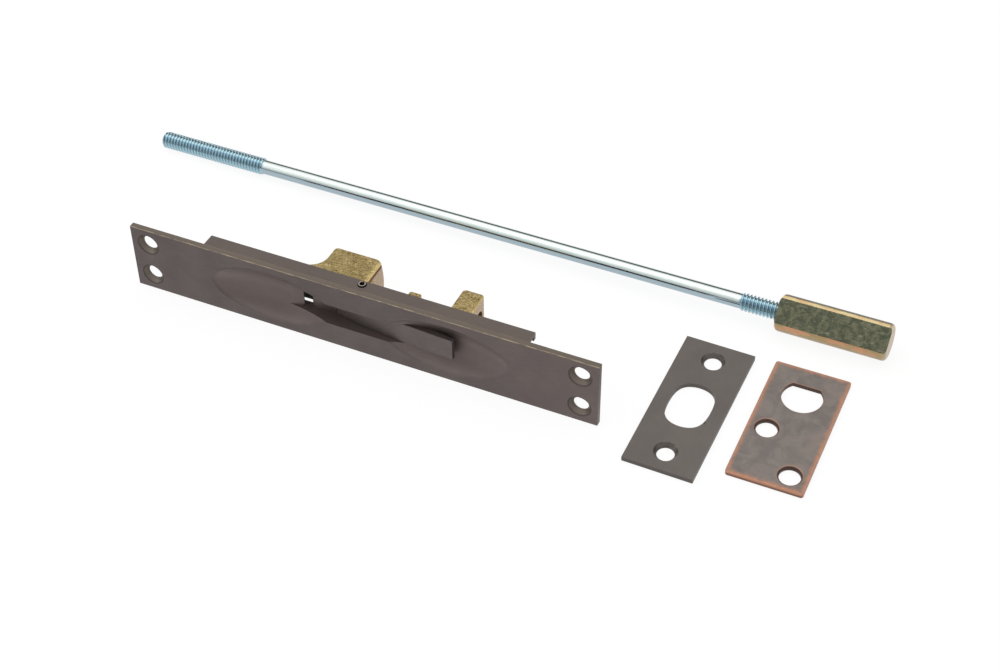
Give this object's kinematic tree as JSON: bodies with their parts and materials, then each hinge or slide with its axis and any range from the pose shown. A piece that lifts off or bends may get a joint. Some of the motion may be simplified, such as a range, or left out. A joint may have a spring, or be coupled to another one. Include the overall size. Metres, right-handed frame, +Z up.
{
  "type": "lever flush bolt",
  "caption": "Manual flush bolt set: recessed face plate with a flip lever that drives a slide, a threaded rod with a bolt head, a strike and a guide plate.",
  "frame": {"origin": "centre of the laid-out set's bounding box, on the surface that the pieces lie on", "axes": "+X along the face plate and the rod, towards the bolt head; +Y from the face plate's front to its back, towards the rod; +Z up from the surface"},
  "size_m": [0.2784, 0.0816, 0.0255],
  "materials": {
    "dark_bronze": "satin dark bronze plate",
    "dark_spring_steel": "rolled spring steel, dark bronze plate",
    "rough_brass": "rough cast, dull",
    "bright_zinc": "bright zinc plate with a blue cast",
    "tarnished_brass": "machined, tarnished yellow dichromate",
    "bronze_strike": "satin dark bronze plate",
    "antique_copper": "antique copper plate rubbed through at the edges"
  },
  "bodies": {
    "body": {"face_plate": "dark_bronze", "pivot_pin": "dark_spring_steel", "rod": "bright_zinc", "bolt_head": "tarnished_brass", "strike_plate": "bronze_strike", "guide_plate": "antique_copper"},
    "lever": {"lever": "dark_bronze"},
    "slide": {"slide": "rough_brass"}
  },
  "joints": [
    {"name": "lever_flip", "type": "hinge", "parent": "body", "child": "lever", "pos_m": [-0.02332, -0.02396, 0.01245], "axis": [0, -0.0665, -0.9978], "range_deg": [0, 166.6]},
    {"name": "slide_travel", "type": "slide", "parent": "body", "child": "slide", "axis": [1, 0, 0], "range_m": [0, 0.01905]}
  ],
  "couplings": [
    {"joint": "lever_flip", "follows": "slide_travel", "rad_per_m": 152.64}
  ]
}
